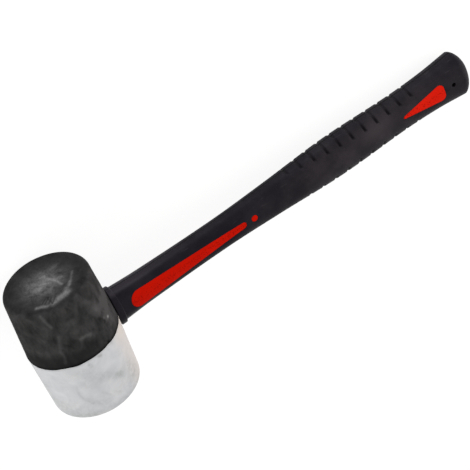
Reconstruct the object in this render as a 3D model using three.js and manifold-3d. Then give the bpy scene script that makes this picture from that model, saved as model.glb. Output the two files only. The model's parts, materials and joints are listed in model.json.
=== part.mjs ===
// Two-colour rubber mallet with a fibreglass-core handle, lying on its side as it rests on a table.
// Millimetres, +Z up. Each piece is drawn in the mallet's own frame: the head's axis along Y with the
// black face at +Y, the handle along +X, and the origin where the two axes cross. The last section
// lays the whole mallet down and puts the origin under the middle of its box.

import * as THREE from 'three';
import { mergeVertices } from 'three/addons/utils/BufferGeometryUtils.js';
import Module from 'manifold-3d';

// Head: two tapered rubber halves. Each swells, by this much of its radius, from its face to the belly
// where the two are bonded, so the black face sets the belly and the belly sets the white face.
const BLACK_FACE_DIAMETER = 64.8;
const BLACK_SWELL = 2.6;
const BLACK_LENGTH = 51;
const BLACK_RIM_RADIUS = 4.3;
const WHITE_SWELL = 2.4;
const WHITE_LENGTH = 54;
const WHITE_RIM_RADIUS = 7.2;

// Clearance between pieces that are bonded together or moulded into each other
const FIT_GAP = 0.3;

// Handle, from the side of the head to its end, and its sections with their width (Y) and thickness (Z).
// The neck's sections are placed from the head, and those of the grip from the end.
const HANDLE_LENGTH = 316.3;
const ROOT_WIDTH = 28.2;
const ROOT_THICKNESS = 21;
const NECK_FROM_HEAD = 27;
const NECK_WIDTH = 25.2;
const NECK_THICKNESS = 19.6;
const WAIST_FROM_HEAD = 94;
const WAIST_WIDTH = 24.4;
const WAIST_THICKNESS = 16.8;
const SHOULDER_FROM_HEAD = 141;
const SHOULDER_WIDTH = 27.8;
const SHOULDER_THICKNESS = 18.2;
const PALM_FROM_END = 122.3;
const PALM_WIDTH = 32.7;
const PALM_THICKNESS = 21.8;
const THROAT_FROM_END = 61.3;
const THROAT_WIDTH = 30;
const THROAT_THICKNESS = 21.2;
const FLARE_FROM_END = 32.3;
const FLARE_WIDTH = 32;
const FLARE_THICKNESS = 22;
const TAIL_CROWN = 8.6;
const TAIL_WIDTH = 37;
const TAIL_THICKNESS = 24.2;

// Collar against the head, and the tenon in the head's eye, which stops short of the far side
const COLLAR_THICKNESS = 3.6;
const COLLAR_STEP = 1.3;
const COLLAR_BEVEL = 0.6;
const TENON_SHOULDER = 2.4;
const EYE_BACK_WALL = 15;

// Fibreglass core: what the jacket leaves at the waist, stopping short of the tail's hole
const JACKET_SIDE = 4.7;
const JACKET_FLAT = 3.4;
const CORE_TO_HOLE = 10;

// Grip grooves round both edges of the handle, bowed a little towards the head at the edges. Each runs onto
// the flats: the longest to LONG_REACH of the half width from the middle, the first only to SHORT_REACH.
const GROOVE_COUNT = 11;
const GROOVE_PITCH = 10.9;
const GROOVE_WIDTH = 3;
const GROOVE_DEPTH = 1.1;
const GROOVE_BOW = 1.5;
const BOW_RUN = 28;
const GROOVES_PAST_PALM = 17.6;
const LONGEST_GROOVE = 6;
const LONG_REACH = 0.5;
const SHORT_REACH = 0.85;
const REACH_FADE = 0.12;

// Red inlays on both flats, and the small hole near the end
const INLAY_DEPTH = 1.2;
const STRIP_FROM_HEAD = 11.3;
const STRIP_LENGTH = 100.8;
const STRIP_WIDE_RADIUS = 7;
const STRIP_TIP_RADIUS = 2.5;
const DOT_DIAMETER = 5;
const DOT_FROM_STRIP = 4.6;
const WEDGE_LENGTH = 37.6;
const WEDGE_WIDTH = 13.6;
const WEDGE_TIP_RADIUS = 1.2;
const WEDGE_CORNER_RADIUS = 4;
const WEDGE_FROM_END = 25.9;
const HOLE_DIAMETER = 3.2;
const HOLE_FROM_END = 17.6;

// Shape of an oval section (2 is an ellipse) and of the tail's crown (1 is round), and how finely
// curves are divided
const OVAL_POWER = 2.3;
const CROWN_POWER = 1.3;
const HEAD_SIDES = 64;
const RIM_STEPS = 4;
const BEVEL_STEPS = 2;
const OVAL_SIDES = 40;
const RING_STEP = 9;
const CROWN_RINGS = 6;
const DISC_SIDES = 24;

const blackFaceRadius = BLACK_FACE_DIAMETER / 2;
const bellyRadius = blackFaceRadius + BLACK_SWELL;
const whiteFaceRadius = bellyRadius - WHITE_SWELL;
const holeRadius = HOLE_DIAMETER / 2;
const wasm = await Module();
wasm.setup();

// Closed geometry to a solid that can be joined and cut
function solidOf(geometry) {
  const shell = geometry.clone();
  shell.deleteAttribute('normal');
  shell.deleteAttribute('uv');
  const merged = mergeVertices(shell);
  const corners = merged.index.array;
  const triangles = [];
  for (let k = 0; k < corners.length; k += 3) {
    const [a, b, c] = corners.slice(k, k + 3);
    if (a !== b && b !== c && c !== a) {
      triangles.push(a, b, c);
    }
  }
  return new wasm.Manifold(new wasm.Mesh({
    numProp: 3,
    vertProperties: merged.attributes.position.array,
    triVerts: Uint32Array.from(triangles),
  }));
}

// Solid back to a geometry, as a named mesh with its own finish
function piece(name, solid, color, roughness) {
  const { vertProperties, triVerts } = solid.getMesh();
  const geometry = new THREE.BufferGeometry();
  geometry.setAttribute('position', new THREE.BufferAttribute(vertProperties, 3));
  geometry.setIndex(new THREE.BufferAttribute(triVerts, 1));
  geometry.computeVertexNormals();
  const mesh = new THREE.Mesh(geometry, new THREE.MeshStandardMaterial({ color, roughness, metalness: 0 }));
  mesh.name = name;
  return mesh;
}

// Point at an angle from +Y towards +Z on an oval of the given half sizes
function ovalPoint(angle, halfWidth, halfThickness) {
  const y = Math.cos(angle);
  const z = Math.sin(angle);
  const share = 2 / OVAL_POWER;
  return new THREE.Vector2(
    halfWidth * Math.sign(y) * Math.abs(y) ** share,
    halfThickness * Math.sign(z) * Math.abs(z) ** share,
  );
}

// Bar of oval section along X, with an optional bevel round both ends
function ovalBar(halfWidth, halfThickness, from, to, bevel = 0) {
  const outline = [];
  for (let j = 0; j < OVAL_SIDES; j += 1) {
    outline.push(ovalPoint(2 * Math.PI * j / OVAL_SIDES, halfWidth - bevel, halfThickness - bevel));
  }
  const bar = new THREE.ExtrudeGeometry(new THREE.Shape(outline), {
    depth: to - from - 2 * bevel,
    bevelEnabled: bevel > 0,
    bevelSize: bevel,
    bevelThickness: bevel,
    bevelSegments: BEVEL_STEPS,
  });
  const alongX = new THREE.Vector3(1, 0, 0);
  const alongY = new THREE.Vector3(0, 1, 0);
  const alongZ = new THREE.Vector3(0, 0, 1);
  bar.applyMatrix4(new THREE.Matrix4().makeBasis(alongY, alongZ, alongX));
  bar.translate(from + bevel, 0, 0);
  return solidOf(bar);
}

// One tapered half of the head on the +Y side, turned about Y, its rim rounded into its flat face
function headHalf(length, faceRadius, rimRadius) {
  const taper = faceRadius - bellyRadius;
  const slant = Math.hypot(taper, length);
  const rimY = length - rimRadius;
  const rimX = bellyRadius + (rimY * taper - rimRadius * slant) / length;
  const profile = new THREE.Path();
  profile.moveTo(0, FIT_GAP / 2);
  profile.lineTo(bellyRadius + taper * FIT_GAP / 2 / length, FIT_GAP / 2);
  profile.absarc(rimX, rimY, rimRadius, Math.atan2(-taper, length), Math.PI / 2);
  profile.lineTo(0, length);
  return new THREE.LatheGeometry(profile.getPoints(RIM_STEPS), HEAD_SIDES);
}

// The head's outer barrel, grown by the clearance, which shapes the collar's seat
function barrel() {
  const blackRadius = blackFaceRadius + FIT_GAP;
  const whiteRadius = whiteFaceRadius + FIT_GAP;
  const profile = [
    new THREE.Vector2(0, -WHITE_LENGTH),
    new THREE.Vector2(whiteRadius, -WHITE_LENGTH),
    new THREE.Vector2(bellyRadius + FIT_GAP, 0),
    new THREE.Vector2(blackRadius, BLACK_LENGTH),
    new THREE.Vector2(0, BLACK_LENGTH),
  ];
  return solidOf(new THREE.LatheGeometry(profile, HEAD_SIDES));
}

// Handle stations along X, from the head's side to the edge of the tail's crown. Its skin and collar are
// drawn from a start inside the head, and the head then cuts them to their seat.
const handleStart = bellyRadius / 2;
const handleEnd = bellyRadius + HANDLE_LENGTH;
const palmX = handleEnd - PALM_FROM_END;
const tailEdgeX = handleEnd - TAIL_CROWN;
const stations = [
  [bellyRadius, ROOT_WIDTH, ROOT_THICKNESS],
  [bellyRadius + NECK_FROM_HEAD, NECK_WIDTH, NECK_THICKNESS],
  [bellyRadius + WAIST_FROM_HEAD, WAIST_WIDTH, WAIST_THICKNESS],
  [bellyRadius + SHOULDER_FROM_HEAD, SHOULDER_WIDTH, SHOULDER_THICKNESS],
  [palmX, PALM_WIDTH, PALM_THICKNESS],
  [handleEnd - THROAT_FROM_END, THROAT_WIDTH, THROAT_THICKNESS],
  [handleEnd - FLARE_FROM_END, FLARE_WIDTH, FLARE_THICKNESS],
  [tailEdgeX, TAIL_WIDTH, TAIL_THICKNESS],
];
const places = stations.map(([x, width, thickness]) => (
  { x, halfWidth: width / 2, halfThickness: thickness / 2 }
));
const holeX = handleEnd - HOLE_FROM_END;

// Smooth curve of one size through the stations: a cubic between each two, with even slopes
function sizeAt(x, key) {
  const last = places.length - 1;
  const inside = THREE.MathUtils.clamp(x, places[0].x, places[last].x);
  let k = 0;
  while (k < last - 1 && places[k + 1].x < inside) {
    k += 1;
  }
  const slope = (i) => {
    const before = places[Math.max(i - 1, 0)];
    const after = places[Math.min(i + 1, last)];
    return (after[key] - before[key]) / (after.x - before.x);
  };
  const span = places[k + 1].x - places[k].x;
  const t = (inside - places[k].x) / span;
  const startShare = (1 + 2 * t) * (1 - t) ** 2;
  const endShare = t * t * (3 - 2 * t);
  const startPull = t * (1 - t) ** 2 * span * slope(k);
  const endPull = t * t * (t - 1) * span * slope(k + 1);
  return startShare * places[k][key] + endShare * places[k + 1][key] + startPull + endPull;
}

// Depth of one groove at a share of the half width. The further from the longest, the shorter it is.
const firstGrooveX = palmX + GROOVES_PAST_PALM - (GROOVE_COUNT - 1) / 2 * GROOVE_PITCH;
const lastGrooveX = firstGrooveX + (GROOVE_COUNT - 1) * GROOVE_PITCH;

function grooveDepth(index, share) {
  const offset = (index - LONGEST_GROOVE) / LONGEST_GROOVE;
  const reach = LONG_REACH + (SHORT_REACH - LONG_REACH) * offset * offset;
  return GROOVE_DEPTH * THREE.MathUtils.clamp((share - reach) / REACH_FADE, 0, 1);
}

// How far a ring's edges lag behind its flats, so that the grooves on it are bowed
function bowAt(x) {
  const rise = THREE.MathUtils.smoothstep(x, firstGrooveX - BOW_RUN, firstGrooveX - GROOVE_WIDTH);
  const fall = THREE.MathUtils.smoothstep(x, lastGrooveX + GROOVE_WIDTH, lastGrooveX + BOW_RUN);
  return GROOVE_BOW * (rise - fall);
}

// Rings of the handle's skin: where each sits, its groove if it has one, and its share of the full size
function skinRings() {
  const plain = (from, to) => {
    const count = Math.max(1, Math.round((to - from) / RING_STEP));
    return Array.from({ length: count }, (_, k) => ({ x: from + (to - from) * k / count }));
  };
  const rings = plain(handleStart, firstGrooveX - GROOVE_WIDTH / 2);
  for (let index = 0; index < GROOVE_COUNT; index += 1) {
    const x = firstGrooveX + index * GROOVE_PITCH;
    rings.push({ x: x - GROOVE_WIDTH / 2 }, { x, groove: index }, { x: x + GROOVE_WIDTH / 2 });
  }
  rings.push(...plain(lastGrooveX + GROOVE_WIDTH / 2, tailEdgeX).slice(1));
  for (let k = 0; k < CROWN_RINGS; k += 1) {
    const turn = Math.PI / 2 * k / CROWN_RINGS;
    rings.push({ x: tailEdgeX + TAIL_CROWN * Math.sin(turn) ** CROWN_POWER, share: Math.cos(turn) });
  }
  return rings;
}

// Closed skin of the handle from its start to the crown of the tail, all drawn in by inset
function handleSkin(inset) {
  const rings = skinRings();
  const points = [];
  for (const { x: ringX, groove, share = 1 } of rings) {
    const bow = bowAt(ringX);
    for (let j = 0; j < OVAL_SIDES; j += 1) {
      const angle = 2 * Math.PI * j / OVAL_SIDES;
      const edgeShare = Math.abs(ovalPoint(angle, 1, 1).x);
      const x = ringX - bow * edgeShare ** 2;
      const off = groove === undefined ? inset : inset + grooveDepth(groove, edgeShare);
      const halfWidth = share * (sizeAt(x, 'halfWidth') - off);
      const halfThickness = share * (sizeAt(x, 'halfThickness') - off);
      const { x: y, y: z } = ovalPoint(angle, halfWidth, halfThickness);
      points.push(x, y, z);
    }
  }
  const frontPole = points.length / 3;
  const backPole = frontPole + 1;
  points.push(rings[0].x, 0, 0, handleEnd - inset, 0, 0);
  const triangles = [];
  const at = (ring, j) => ring * OVAL_SIDES + j % OVAL_SIDES;
  const lastRing = rings.length - 1;
  for (let j = 0; j < OVAL_SIDES; j += 1) {
    triangles.push(frontPole, at(0, j + 1), at(0, j));
    for (let ring = 0; ring < lastRing; ring += 1) {
      triangles.push(at(ring, j), at(ring, j + 1), at(ring + 1, j));
      triangles.push(at(ring, j + 1), at(ring + 1, j + 1), at(ring + 1, j));
    }
    triangles.push(at(lastRing, j), at(lastRing, j + 1), backPole);
  }
  const skin = new THREE.BufferGeometry();
  skin.setAttribute('position', new THREE.Float32BufferAttribute(points, 3));
  skin.setIndex(triangles);
  return solidOf(skin);
}

// Sizes that follow from the handle: tenon, eye and core
const tenonHalfWidth = ROOT_WIDTH / 2 - TENON_SHOULDER;
const tenonHalfThickness = ROOT_THICKNESS / 2 - TENON_SHOULDER;
const coreHalfWidth = WAIST_WIDTH / 2 - JACKET_SIDE;
const coreHalfThickness = WAIST_THICKNESS / 2 - JACKET_FLAT;
const coreEnd = holeX - holeRadius - CORE_TO_HOLE;
const tenonEnd = EYE_BACK_WALL + FIT_GAP - bellyRadius;
const beyondHead = 2 * bellyRadius;

// Outline round a set of discs, each grown by the clearance where it is a pocket
function roundDiscs(discs, grow) {
  const points = [];
  for (const { x, y = 0, radius } of discs) {
    for (let k = 0; k < DISC_SIDES; k += 1) {
      const angle = 2 * Math.PI * k / DISC_SIDES;
      const reach = radius + grow;
      points.push(new THREE.Vector2(x + reach * Math.cos(angle), y + reach * Math.sin(angle)));
    }
  }
  points.sort((p, q) => p.x - q.x || p.y - q.y);
  const chain = (list) => {
    const hull = [];
    for (const p of list) {
      while (hull.length > 1) {
        const [before, last] = hull.slice(-2);
        if (last.clone().sub(before).cross(p.clone().sub(before)) > 0) {
          break;
        }
        hull.pop();
      }
      hull.push(p);
    }
    return hull.slice(0, -1);
  };
  return new THREE.Shape([...chain(points), ...chain(points.toReversed())]);
}

// Straight-sided bar of an outline, on the upper flat (side 1) or the lower one (side -1)
function flatBar(discs, grow, side) {
  const height = TAIL_WIDTH;
  const bar = new THREE.ExtrudeGeometry(roundDiscs(discs, grow), { depth: height, bevelEnabled: false });
  if (side < 0) {
    bar.translate(0, 0, -height);
  }
  return solidOf(bar);
}

// Discs whose outlines are the three red inlays
const stripX = bellyRadius + STRIP_FROM_HEAD;
const dotX = stripX + STRIP_LENGTH + DOT_FROM_STRIP + DOT_DIAMETER / 2;
const wedgeEnd = handleEnd - WEDGE_FROM_END;
const wedgeCornerX = wedgeEnd - WEDGE_CORNER_RADIUS;
const wedgeCornerY = WEDGE_WIDTH / 2 - WEDGE_CORNER_RADIUS;
const inlayDiscs = {
  strip_inlay: [
    { x: stripX + STRIP_WIDE_RADIUS, radius: STRIP_WIDE_RADIUS },
    { x: stripX + STRIP_LENGTH - STRIP_TIP_RADIUS, radius: STRIP_TIP_RADIUS },
  ],
  dot_inlay: [
    { x: dotX, radius: DOT_DIAMETER / 2 },
  ],
  tail_inlay: [
    { x: wedgeEnd - WEDGE_LENGTH + WEDGE_TIP_RADIUS, radius: WEDGE_TIP_RADIUS },
    { x: wedgeCornerX, y: wedgeCornerY, radius: WEDGE_CORNER_RADIUS },
    { x: wedgeCornerX, y: -wedgeCornerY, radius: WEDGE_CORNER_RADIUS },
  ],
};
const flats = { upper: 1, lower: -1 };

// Handle jacket: skin, collar seated on the head, tenon, then the core's bore, the pockets and the hole
const skin = handleSkin(0);
const inlayFloor = handleSkin(INLAY_DEPTH);
const pocketFloor = handleSkin(INLAY_DEPTH + FIT_GAP);
const collar = ovalBar(
  ROOT_WIDTH / 2 + COLLAR_STEP,
  ROOT_THICKNESS / 2 + COLLAR_STEP,
  handleStart,
  bellyRadius + COLLAR_THICKNESS,
  COLLAR_BEVEL,
);
const tenon = ovalBar(tenonHalfWidth, tenonHalfThickness, tenonEnd, bellyRadius + COLLAR_THICKNESS);
const bore = ovalBar(coreHalfWidth + FIT_GAP, coreHalfThickness + FIT_GAP, -beyondHead, coreEnd + FIT_GAP);
const hole = new THREE.CylinderGeometry(holeRadius, holeRadius, 2 * TAIL_THICKNESS, DISC_SIDES);
hole.rotateX(Math.PI / 2);
hole.translate(holeX, 0, 0);
let jacket = skin.add(collar).subtract(barrel()).add(tenon).subtract(bore).subtract(solidOf(hole));
for (const discs of Object.values(inlayDiscs)) {
  for (const side of Object.values(flats)) {
    jacket = jacket.subtract(flatBar(discs, FIT_GAP, side).subtract(pocketFloor));
  }
}

// Head halves, with half of the oval eye in each
const eye = ovalBar(tenonHalfWidth + FIT_GAP, tenonHalfThickness + FIT_GAP, tenonEnd - FIT_GAP, beyondHead);
const blackHalf = headHalf(BLACK_LENGTH, blackFaceRadius, BLACK_RIM_RADIUS);
const whiteHalf = headHalf(WHITE_LENGTH, whiteFaceRadius, WHITE_RIM_RADIUS);
whiteHalf.rotateZ(Math.PI);

// Core rod from the tenon's end to the tail
const core = ovalBar(coreHalfWidth, coreHalfThickness, tenonEnd, coreEnd);

const tool = new THREE.Group();
const handle = piece('handle_body', jacket, '#2a2829', 0.6);
tool.add(piece('head_black_half', solidOf(blackHalf).subtract(eye), '#303030', 0.8));
tool.add(piece('head_white_half', solidOf(whiteHalf).subtract(eye), '#c9cbcb', 0.7));
tool.add(handle);
tool.add(piece('fibreglass_core', core, '#d8cfa4', 0.5));
for (const [name, discs] of Object.entries(inlayDiscs)) {
  for (const [flat, side] of Object.entries(flats)) {
    const inlay = flatBar(discs, 0, side).intersect(skin).subtract(inlayFloor);
    tool.add(piece(`${name}_${flat}`, inlay, '#c21a08', 0.5));
  }
}

// At rest the white half's taper lies flat on the table, and the head turns until the tail touches it too
const lean = Math.atan(WHITE_SWELL / WHITE_LENGTH);
const tableZ = -bellyRadius * Math.cos(lean);

function lowestPoint(droop) {
  const turn = new THREE.Matrix4().makeRotationX(lean);
  turn.multiply(new THREE.Matrix4().makeRotationY(droop));
  return handle.geometry.clone().applyMatrix4(turn).attributes.position.array
    .reduce((low, value, k) => (k % 3 === 2 ? Math.min(low, value) : low), Infinity);
}

const FIRST_DROOP_STEP = Math.PI / 8;
const SMALLEST_DROOP_STEP = 1e-9;
let droop = 0;
for (let step = FIRST_DROOP_STEP; step > SMALLEST_DROOP_STEP; step /= 2) {
  if (lowestPoint(droop + step) > tableZ) {
    droop += step;
  }
}
tool.rotation.y = droop;

const mallet = new THREE.Group();
mallet.add(tool);
mallet.rotation.x = lean;
const box = new THREE.Box3().setFromObject(mallet, true);
const centre = box.getCenter(new THREE.Vector3());
mallet.position.set(-centre.x, -centre.y, -box.min.z);

export default mallet;
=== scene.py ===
import json

import bmesh
import bpy
import numpy as np
from mathutils import Matrix, Quaternion, Vector


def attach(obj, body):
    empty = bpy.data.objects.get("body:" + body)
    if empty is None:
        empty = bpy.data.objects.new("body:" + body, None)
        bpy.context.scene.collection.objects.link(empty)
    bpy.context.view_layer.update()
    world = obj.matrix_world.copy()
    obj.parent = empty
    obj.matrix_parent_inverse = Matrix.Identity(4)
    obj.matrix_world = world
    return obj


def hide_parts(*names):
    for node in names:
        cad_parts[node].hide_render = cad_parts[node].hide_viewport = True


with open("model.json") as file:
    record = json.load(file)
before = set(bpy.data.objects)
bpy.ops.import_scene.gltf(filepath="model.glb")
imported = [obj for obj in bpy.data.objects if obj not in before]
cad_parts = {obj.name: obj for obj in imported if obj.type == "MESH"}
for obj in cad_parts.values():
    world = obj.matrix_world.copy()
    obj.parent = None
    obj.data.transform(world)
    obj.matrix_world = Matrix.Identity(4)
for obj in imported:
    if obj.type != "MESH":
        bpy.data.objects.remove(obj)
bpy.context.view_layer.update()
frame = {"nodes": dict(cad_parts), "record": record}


# Core rod of the handle
# Glass fibres pulled through resin make a stiff straw-coloured rod from the head's eye to the tail.
# The jacket is moulded around it and hides all of it, so its solid stays and only gets its material.
MM_PER_M = 1000
FIBRE_WIDTH = 0.6  # of one bundle of fibres
FIBRE_LENGTH = 40

# The mallet lies on the head's widest ring and on its tail. In its own frame, in millimetres, x runs from
# the middle of the head to the tail along the core, y to the black face and z to the flat that faces up.


def node_points(name):
    """The corners of a CAD node's mesh, each once, in millimetres."""
    mesh = frame["nodes"][name].data
    points = np.empty(len(mesh.vertices) * 3)
    mesh.vertices.foreach_get("co", points)
    return np.unique(np.round(points.reshape(-1, 3) * MM_PER_M, 3), axis=0)


mounts = {mount["name"]: mount for mount in frame["record"]["mounts"]}
TO_BLACK_FACE = np.array(mounts["black_striking_face"]["axis"])
rod = node_points("fibreglass_core")
tail_side = rod[:, 0] > rod[:, 0].mean()
rod_start = rod[~tail_side].mean(0)
rod_end = rod[tail_side].mean(0)
TO_TAIL = (rod_end - rod_start) / np.linalg.norm(rod_end - rod_start)
TURN = np.stack([TO_TAIL, TO_BLACK_FACE, np.cross(TO_TAIL, TO_BLACK_FACE)], 1)
head = (node_points("head_black_half") - rod_start) @ TURN
cad_radius = np.ptp(head[:, 2]) / 2
HEAD_CENTRE = rod_start + TO_TAIL * (head[:, 0].min() + cad_radius)


def linear(code):
    """Linear red, green, blue and alpha of an sRGB hex code."""
    srgb = np.array([int(code[k:k + 2], 16) for k in (0, 2, 4)]) / 255
    return (*np.where(srgb <= 0.04045, srgb / 12.92, ((srgb + 0.055) / 1.055) ** 2.4), 1.0)


def add(tree, kind, sockets, **settings):
    """Adds a shader node: settings are its properties, sockets its input values or links."""
    node = tree.nodes.new("ShaderNode" + kind)
    for name, value in settings.items():
        setattr(node, name, value)
    for name, value in sockets.items():
        if isinstance(value, bpy.types.NodeSocket):
            tree.links.new(value, node.inputs[name])
        else:
            node.inputs[name].default_value = value
    return node


def new_material(name):
    """An empty material, its node tree, and a point's place in the mallet's own frame in millimetres."""
    material = bpy.data.materials.new(name)
    material.use_nodes = True
    tree = material.node_tree
    tree.nodes.clear()
    place = add(tree, "TexCoord", {}).outputs["Object"]
    own = add(tree, "Mapping", {
        "Vector": place, "Scale": (MM_PER_M, MM_PER_M, MM_PER_M),
        "Rotation": Matrix(TURN.T).to_euler(), "Location": -TURN.T @ HEAD_CENTRE})
    return material, tree, own.outputs["Vector"]


# Pultruded glass fibre: long pale fibres side by side in honey-coloured resin, with a satin shine.
fibreglass, tree, own = new_material("pultruded glass fibre")
stretched = add(tree, "Mapping", {
    "Vector": own, "Scale": (1 / FIBRE_LENGTH, 1 / FIBRE_WIDTH, 1 / FIBRE_WIDTH)})
fibres = add(tree, "TexNoise", {"Scale": 1.0, "Detail": 3.0, "Vector": stretched.outputs["Vector"]})
straw = add(tree, "Mix", {0: fibres.outputs["Fac"], 6: linear("b89a5c"), 7: linear("e6dcb4")},
            data_type="RGBA")
ribs = add(tree, "Bump", {"Strength": 0.3, "Distance": 0.0001, "Height": fibres.outputs["Fac"]})
surface = add(tree, "BsdfPrincipled", {
    "Base Color": straw.outputs[2], "Roughness": 0.42, "Normal": ribs.outputs["Normal"]})
add(tree, "OutputMaterial", {"Surface": surface.outputs["BSDF"]})

core = frame["nodes"]["fibreglass_core"]
core.material_slots[0].link = "OBJECT"
core.material_slots[0].material = fibreglass


# Jacket of the handle
# Black rubbery plastic moulded around the rod: a tenon in the head's eye, a collar seated on the barrel,
# a slim neck, a grip with grooves cut in from both edges, and a flared tail with a small hole.
# The two halves of its mould left a parting line along both narrow edges.

# Outer form: x, width and thickness at each station, joined by ovals. The barrel is what it sits on.
STATIONS = np.array([
    (35, 28.2, 21), (62, 25.2, 19.6), (129, 24.4, 16.8), (176, 27.8, 18.2),
    (229, 32.7, 21.8), (290, 30, 21.2), (319, 32, 22), (342.7, 36.9, 24.1)])
OVAL_POWER = 2.3
TAIL_EDGE = 342.7
TAIL_CROWN = 8.5
CROWN_POWER = 1.3
BARREL_RADIUS = cad_radius - 0.02  # so that a true round stays inside the CAD ring's flat sides
BLACK_LENGTH = 51
BLACK_TAPER = 2.6
WHITE_LENGTH = 54
WHITE_TAPER = 2.4

# Tenon, bore and collar.
SEAT_GAP = 0.3
TENON_END = -19.7
TENON_HALF = np.array([11.7, 8.1])
BORE_END = 322.4
BORE_HALF = np.array([7.8, 5.3])
COLLAR_TOP = 38.6
COLLAR_STEP = 1.3
COLLAR_ROUND = 0.8

# Grooves: reaches, fades and the painted shade count in shares of the half width; where a lip lies and how
# far it spreads count in half groove widths.
FIRST_GROOVE = 192.1
GROOVE_COUNT = 11
GROOVE_PITCH = 10.9
GROOVE_WIDTH = 2.8
GROOVE_DEPTH = 1.0
BOW = 1.5
BOW_MARGIN = 2.2
BOW_RUN = 28
LONGEST_GROOVE = 6
LONG_REACH = 0.5
SHORT_REACH = 0.85
REACH_FADE = 0.1
RUN_OUT = 0.45
RUN_OUT_FROM = 0.7
LIP_HEIGHT = 0.08
LIP_AT = 1.35
LIP_SPREAD = 0.4
LIP_BEFORE = 0.08
LIP_AFTER = 0.02
# Painted shade in the grooves: how much of it pales, from where to where past the reach it pales, and near
# the parting line where it comes back.
SHADE_LOSS = 0.75
SHADE_FROM = 0.2
SHADE_TO = 0.48
SEAM_SHADE = (0.94, 0.995)

# Parting line and hole: the swells' place counts in line widths, the hole's mouth in hole radii.
SEAM_DEPTH = 0.28
SEAM_WIDTH = 0.5
SEAM_SWELL = 0.08
SWELL_AT = 2.2
SEAM_EDGE = (6, 9)
HOLE_DIAMETER = 3.5
HOLE_AT = 333.7
HOLE_MOUTH = 2.6
HOLE_NARROWS = 11.2
HOLE_WIDENS = 12
HOLE_CLEAR = 16

# Fineness of the mesh. The two starts are the steps to the first ring of the neck and of the tail.
AROUND_STEPS = 232
AROUND_CROWDING = 0.33
CORNER_STEPS = 6
NECK_RINGS = 60
NECK_START = 1.2
GROOVE_RINGS = 18
GROOVE_CROWDING = 0.11
TAIL_RINGS = 24
TAIL_START = 0.6
CROWN_RINGS = 24
HOLE_STEPS = 48
OUTLINE_TURNS = 1441
MERGE_DISTANCE = 2e-7
SHARP_ANGLE = np.radians(40)


def ease(value, start, end):
    """Rises from 0 at start to 1 at end along 3t^2 - 2t^3."""
    t = np.clip((value - start) / (end - start), 0, 1)
    return t * t * (3 - 2 * t)


def bell(value, middle, width):
    """1 at the middle, falling off to both sides along exp(-t^2), where t counts widths."""
    return np.exp(-((value - middle) / width) ** 2)


def half_sizes(x):
    """Half width and half thickness at x: cubics through the stations, each with the slope between its
    neighbours, and constant past the ends."""
    at = STATIONS[:, 0]
    sizes = STATIONS[:, 1:] / 2
    slope = np.empty_like(sizes)
    slope[1:-1] = (sizes[2:] - sizes[:-2]) / (at[2:] - at[:-2])[:, None]
    slope[[0, -1]] = (sizes[[1, -1]] - sizes[[0, -2]]) / (at[[1, -1]] - at[[0, -2]])[:, None]
    x = np.clip(x, at[0], at[-1])
    k = np.clip(np.searchsorted(at, x, "right") - 1, 0, len(at) - 2)
    step = (at[k + 1] - at[k])[..., None]
    t = (x - at[k])[..., None] / step
    return ((2 * t**3 - 3 * t**2 + 1) * sizes[k] + (t**3 - 2 * t**2 + t) * step * slope[k]
            + (3 * t**2 - 2 * t**3) * sizes[k + 1] + (t**3 - t**2) * step * slope[k + 1])


def oval(half, angle):
    """Point on the oval |y/w|^p + |z/t|^p = 1 of half sizes w and t, at each angle."""
    power = 2 / OVAL_POWER
    across = np.cos(angle)
    up = np.sin(angle)
    return (half[..., 0] * np.sign(across) * np.abs(across) ** power,
            half[..., 1] * np.sign(up) * np.abs(up) ** power)


def skin_height(x, y):
    """Height of the plain skin over the middle plane at x and y, from the same oval."""
    half = half_sizes(x)
    inside = np.clip(1 - np.abs(y / half[..., 0]) ** OVAL_POWER, 0, 1)
    return half[..., 1] * inside ** (1 / OVAL_POWER)


def bow_of(s):
    """How far the edges of the ring at s lag towards the head: full along the grooves, fading past them."""
    last = FIRST_GROOVE + GROOVE_PITCH * (GROOVE_COUNT - 1)
    return BOW * (ease(s, FIRST_GROOVE - BOW_RUN, FIRST_GROOVE - BOW_MARGIN)
                  - ease(s, last + BOW_MARGIN, last + BOW_RUN))


def groove_parts(s, share):
    """Depth share of the nearest groove, of the lips beside it, and how much painted shade the groove gets,
    at ring s and share of the half width. The groove is a rounded channel, the lips two low swells, and
    both end at the groove's reach. The painted shade is darkest at its inner end and again where it crosses
    the parting line."""
    number = np.clip(np.round((s - FIRST_GROOVE) / GROOVE_PITCH), 0, GROOVE_COUNT - 1)
    reach = LONG_REACH + (SHORT_REACH - LONG_REACH) * ((number - LONGEST_GROOVE) / LONGEST_GROOVE) ** 2
    off = (s - FIRST_GROOVE - GROOVE_PITCH * number) / (GROOVE_WIDTH / 2)
    channel = np.clip(1 - off**2, 0, 1)
    cut = ease(share, reach, reach + REACH_FADE) * (1 - RUN_OUT * ease(share, RUN_OUT_FROM, 1))
    lips = bell(np.abs(off), LIP_AT, LIP_SPREAD) * ease(share, reach - LIP_BEFORE, reach + LIP_AFTER)
    paler = ease(share, reach + SHADE_FROM, reach + SHADE_TO) * (1 - ease(share, *SEAM_SHADE))
    return channel * cut, lips, 1 - SHADE_LOSS * paler


def seat(y, z):
    """The end of the jacket that sits on the head: x of the barrel's cone under each point, and the gap."""
    taper = np.where(y > 0, BLACK_TAPER / BLACK_LENGTH, WHITE_TAPER / WHITE_LENGTH)
    return np.sqrt((BARREL_RADIUS + SEAT_GAP - taper * np.abs(y)) ** 2 - z**2)


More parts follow.
